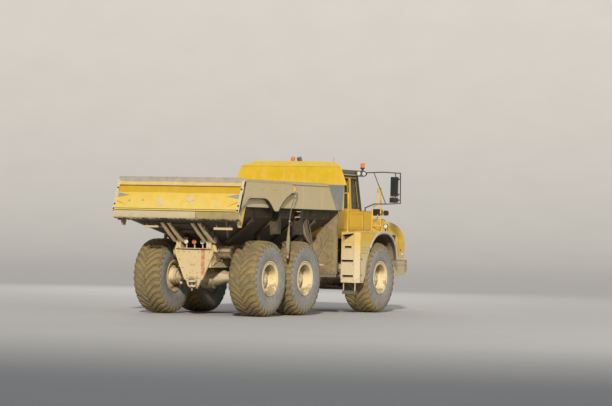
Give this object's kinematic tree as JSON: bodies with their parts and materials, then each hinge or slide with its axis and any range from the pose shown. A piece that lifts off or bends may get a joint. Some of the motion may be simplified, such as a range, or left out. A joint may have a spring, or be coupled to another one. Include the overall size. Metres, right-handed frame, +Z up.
{
  "type": "articulated dump truck",
  "caption": "Articulated six-wheel earthmoving dump truck with a tipping load body, linked tailgate, tilting hood, hinged cab door and a pivot-and-roll hitch.",
  "frame": {"origin": "bottom centre of the truck's overall box, on the ground", "axes": "+X towards the front of the truck, +Y to its left, +Z up"},
  "size_m": [11.43, 3.6568, 4.115],
  "materials": {
    "yellow_paint": "worn gloss paint under dust",
    "frame_paint": "paint under dried mud",
    "tyre_rubber": "matte rubber packed with mud",
    "cream_rim": "dusty paint",
    "tinted_glass": "tinted, dusty",
    "rod_chrome": "polished",
    "engine_iron": "oily cast iron",
    "seat_fabric": "woven",
    "black_plastic": "matte",
    "guard_rubber": "muddy",
    "bare_steel": "weathered",
    "lamp_lens": "moulded lens",
    "bumper_steel": "grey paint under dust"
  },
  "bodies": {
    "rear_frame": {"rear_frame": "frame_paint", "rear_axle": "frame_paint", "middle_axle": "frame_paint", "bogie_beams": "frame_paint", "wheel_guards": "guard_rubber", "tail_lamps": "lamp_lens", "driveshafts": "frame_paint"},
    "hitch": {"hitch": "frame_paint"},
    "front_frame": {"front_frame": "frame_paint", "front_axle": "frame_paint", "engine_block": "engine_iron", "bumper": "bumper_steel", "headlamps": "lamp_lens", "fenders": "yellow_paint", "side_boxes": "yellow_paint", "cab_floor": "yellow_paint", "cab_back": "yellow_paint", "cab_left_side": "yellow_paint", "cab_right_side": "yellow_paint", "cab_front": "yellow_paint", "cab_roof": "yellow_paint", "cab_glass": "tinted_glass", "driver_seat": "seat_fabric", "dashboard": "black_plastic", "mirrors": "black_plastic", "handrails": "yellow_paint", "roof_lights": "lamp_lens", "exhaust_stack": "bare_steel"},
    "load_body": {"body_floor": "yellow_paint", "body_left_side": "yellow_paint", "body_right_side": "yellow_paint", "headboard": "yellow_paint", "gate_wires": "bare_steel"},
    "tailgate": {"tailgate": "yellow_paint", "gate_arms": "yellow_paint"},
    "hood": {"hood": "yellow_paint"},
    "cab_door": {"cab_door": "yellow_paint", "door_glass": "tinted_glass"},
    "hoist_barrel_left": {"hoist_barrel_left": "frame_paint"},
    "hoist_barrel_right": {"hoist_barrel_right": "frame_paint"},
    "hoist_rod_left": {"hoist_rod_left": "rod_chrome"},
    "hoist_rod_right": {"hoist_rod_right": "rod_chrome"},
    "steer_barrel_left": {"steer_barrel_left": "frame_paint"},
    "steer_barrel_right": {"steer_barrel_right": "frame_paint"},
    "steer_rod_left": {"steer_rod_left": "rod_chrome"},
    "steer_rod_right": {"steer_rod_right": "rod_chrome"},
    "wheel_rear_left": {"tyre_rear_left": "tyre_rubber", "rim_rear_left": "cream_rim"},
    "wheel_rear_right": {"tyre_rear_right": "tyre_rubber", "rim_rear_right": "cream_rim"},
    "wheel_middle_left": {"tyre_middle_left": "tyre_rubber", "rim_middle_left": "cream_rim"},
    "wheel_middle_right": {"tyre_middle_right": "tyre_rubber", "rim_middle_right": "cream_rim"},
    "wheel_front_left": {"tyre_front_left": "tyre_rubber", "rim_front_left": "cream_rim"},
    "wheel_front_right": {"tyre_front_right": "tyre_rubber", "rim_front_right": "cream_rim"}
  },
  "joints": [
    {"name": "hitch_roll", "type": "hinge", "parent": "rear_frame", "child": "hitch", "pos_m": [0.845, 0, 1.09], "axis": [1, 0, 0], "range_deg": [-15, 15]},
    {"name": "steer", "type": "hinge", "parent": "hitch", "child": "front_frame", "pos_m": [1.315, 0, 1.09], "axis": [0, 0, 1], "range_deg": [-45, 45]},
    {"name": "bed_tip", "type": "hinge", "parent": "rear_frame", "child": "load_body", "pos_m": [-4.655, 0, 1.85], "axis": [0, -1, 0], "range_deg": [0, 70]},
    {"name": "tailgate_swing", "type": "hinge", "parent": "load_body", "child": "tailgate", "pos_m": [-2.61, 0, 3.136], "axis": [0, 1, 0], "range_deg": [0, 45]},
    {"name": "hood_tilt", "type": "hinge", "parent": "front_frame", "child": "hood", "pos_m": [5.545, 0, 1.44], "axis": [0, 1, 0], "range_deg": [0, 60]},
    {"name": "cab_door_swing", "type": "hinge", "parent": "front_frame", "child": "cab_door", "pos_m": [1.67, 0.888, 2.9], "axis": [0, 0, 1], "range_deg": [0, 85]},
    {"name": "hoist_barrel_left_pivot", "type": "hinge", "parent": "rear_frame", "child": "hoist_barrel_left", "pos_m": [-0.955, 0.8, 1], "axis": [0, -1, 0], "range_deg": [-19.6, 0]},
    {"name": "hoist_rod_left_slide", "type": "slide", "parent": "hoist_barrel_left", "child": "hoist_rod_left", "axis": [-0.9439, 0, 0.3304], "range_m": [0, 1.705]},
    {"name": "steer_barrel_left_pivot", "type": "hinge", "parent": "front_frame", "child": "steer_barrel_left", "pos_m": [2.295, 0.5, 1.03], "axis": [0, 0, 1], "range_deg": [-1, 1]},
    {"name": "steer_rod_left_slide", "type": "slide", "parent": "steer_barrel_left", "child": "steer_rod_left", "axis": [-0.982, -0.1888, 0], "range_m": [-0.217, 0.217]},
    {"name": "hoist_barrel_right_pivot", "type": "hinge", "parent": "rear_frame", "child": "hoist_barrel_right", "pos_m": [-0.955, -0.8, 1], "axis": [0, -1, 0], "range_deg": [-19.6, 0]},
    {"name": "hoist_rod_right_slide", "type": "slide", "parent": "hoist_barrel_right", "child": "hoist_rod_right", "axis": [-0.9439, 0, 0.3304], "range_m": [0, 1.705]},
    {"name": "steer_barrel_right_pivot", "type": "hinge", "parent": "front_frame", "child": "steer_barrel_right", "pos_m": [2.295, -0.5, 1.03], "axis": [0, 0, 1], "range_deg": [-1, 1]},
    {"name": "steer_rod_right_slide", "type": "slide", "parent": "steer_barrel_right", "child": "steer_rod_right", "axis": [-0.982, 0.1888, 0], "range_m": [-0.217, 0.217]},
    {"name": "wheel_rear_left_spin", "type": "hinge", "parent": "rear_frame", "child": "wheel_rear_left", "pos_m": [-3.855, 1.33, 0.935], "axis": [0, 1, 0], "continuous": true},
    {"name": "wheel_rear_right_spin", "type": "hinge", "parent": "rear_frame", "child": "wheel_rear_right", "pos_m": [-3.855, -1.33, 0.935], "axis": [0, 1, 0], "continuous": true},
    {"name": "wheel_middle_left_spin", "type": "hinge", "parent": "rear_frame", "child": "wheel_middle_left", "pos_m": [-1.915, 1.33, 0.935], "axis": [0, 1, 0], "continuous": true},
    {"name": "wheel_middle_right_spin", "type": "hinge", "parent": "rear_frame", "child": "wheel_middle_right", "pos_m": [-1.915, -1.33, 0.935], "axis": [0, 1, 0], "continuous": true},
    {"name": "wheel_front_left_spin", "type": "hinge", "parent": "front_frame", "child": "wheel_front_left", "pos_m": [2.603, 1.33, 0.935], "axis": [0, 1, 0], "continuous": true},
    {"name": "wheel_front_right_spin", "type": "hinge", "parent": "front_frame", "child": "wheel_front_right", "pos_m": [2.603, -1.33, 0.935], "axis": [0, 1, 0], "continuous": true}
  ],
  "couplings": [
    {"joint": "tailgate_swing", "follows": "bed_tip", "ratio": 0.64286},
    {"joint": "hoist_barrel_left_pivot", "follows": "bed_tip", "ratio": -0.27907},
    {"joint": "hoist_rod_left_slide", "follows": "bed_tip", "m_per_rad": 1.394},
    {"joint": "steer_barrel_left_pivot", "follows": "steer", "ratio": 0.0209},
    {"joint": "steer_rod_left_slide", "follows": "steer", "m_per_rad": -0.275},
    {"joint": "hoist_barrel_right_pivot", "follows": "bed_tip", "ratio": -0.27907},
    {"joint": "hoist_rod_right_slide", "follows": "bed_tip", "m_per_rad": 1.394},
    {"joint": "steer_barrel_right_pivot", "follows": "steer", "ratio": 0.0209},
    {"joint": "steer_rod_right_slide", "follows": "steer", "m_per_rad": 0.275}
  ]
}
